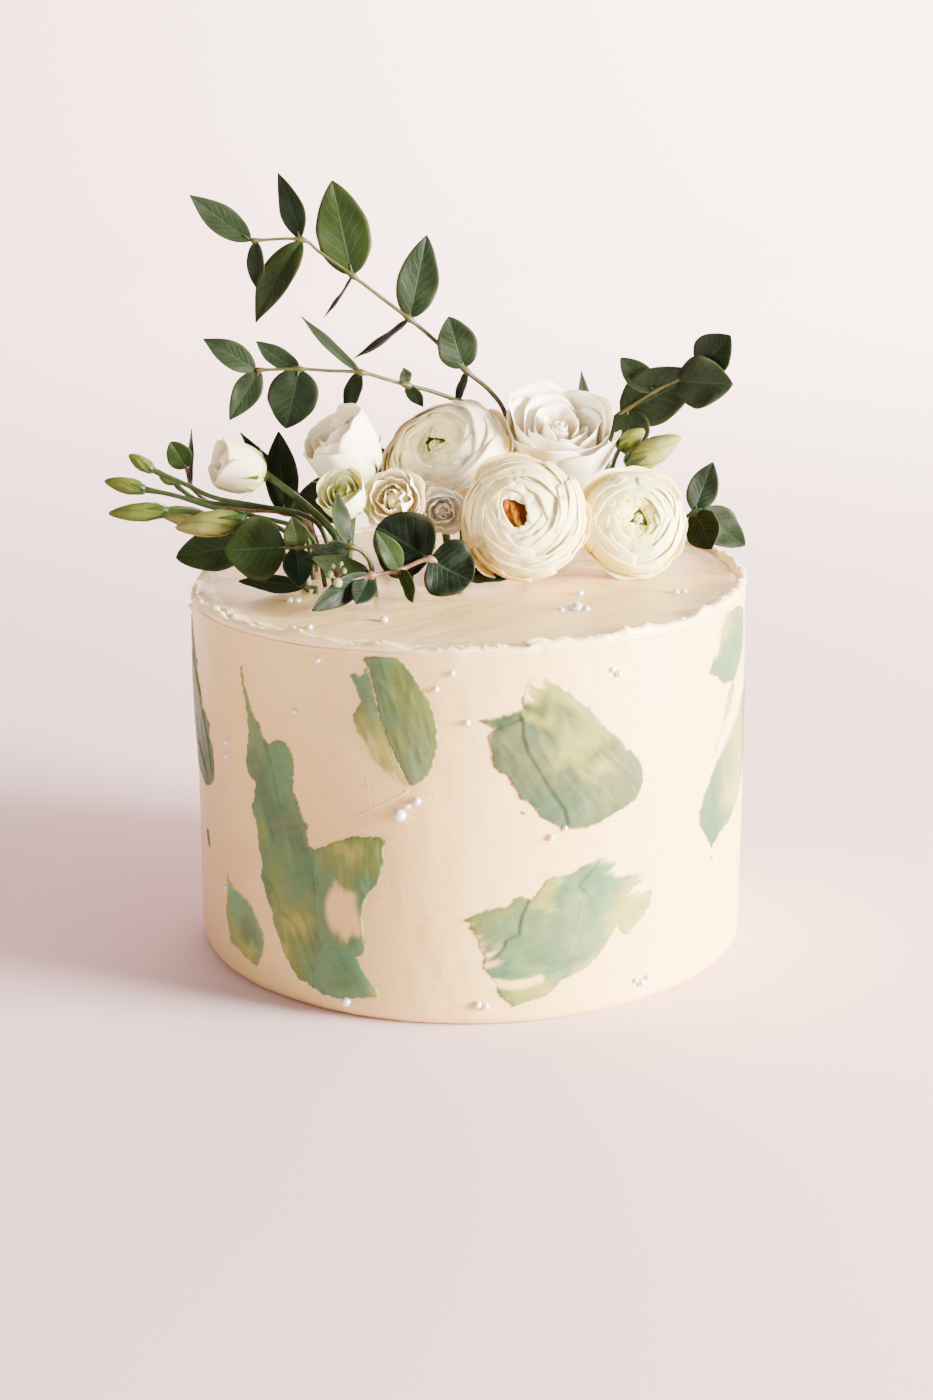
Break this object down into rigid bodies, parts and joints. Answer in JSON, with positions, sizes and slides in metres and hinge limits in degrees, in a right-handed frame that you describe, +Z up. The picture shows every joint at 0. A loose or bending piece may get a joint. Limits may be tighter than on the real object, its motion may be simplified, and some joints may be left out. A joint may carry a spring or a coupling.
{
  "type": "layer cake",
  "caption": "Tall round frosted cake with painted green strokes and sugar pearls, its top dressed with fresh white flowers, buds and eucalyptus.",
  "frame": {"origin": "centre of the cake's flat underside", "axes": "+Z up along the cake's axis, -Y towards the side that faces the viewer, with the buds on -X"},
  "size_m": [0.2398, 0.2066, 0.2801],
  "materials": {
    "icing": "smooth satin buttercream, cream, with sage green strokes and pearl white sugar pearls",
    "white_petal": "soft matt white petals",
    "cream_petal": "soft matt cream petals",
    "bud_green": "pale green buds and green stems",
    "leaf_green": "matt grey green leaves with a waxy bloom"
  },
  "bodies": {
    "root": {"cake": "icing", "lisianthus_left": "white_petal", "lisianthus_upper": "white_petal", "lisianthus_small": "white_petal", "ranunculus_centre": "white_petal", "carnation_white": "white_petal", "rose_white": "white_petal", "carnation_cream": "cream_petal", "rose_cream": "cream_petal", "ranunculus_right": "cream_petal", "bud_left_1": "bud_green", "bud_left_2": "bud_green", "bud_left_small": "bud_green", "bud_left_3": "bud_green", "bud_left_4": "bud_green", "bud_left_5": "bud_green", "bud_right_1": "bud_green", "bud_right_2": "bud_green", "eucalyptus_tall_sprig": "leaf_green", "eucalyptus_low_sprig": "leaf_green", "eucalyptus_right_sprig": "leaf_green", "eucalyptus_right_low_sprig": "leaf_green", "eucalyptus_front_sprig": "leaf_green", "eucalyptus_front_left_sprig": "leaf_green", "eucalyptus_left_sprig": "leaf_green", "leaf_behind_open_bud": "leaf_green", "leaf_dark_left": "leaf_green", "leaf_flat_left": "leaf_green", "leaf_under_rose_left": "leaf_green", "leaf_under_rose": "leaf_green", "eucalyptus_back_left_sprig": "leaf_green", "eucalyptus_back_right_sprig": "leaf_green"}
  },
  "joints": []
}
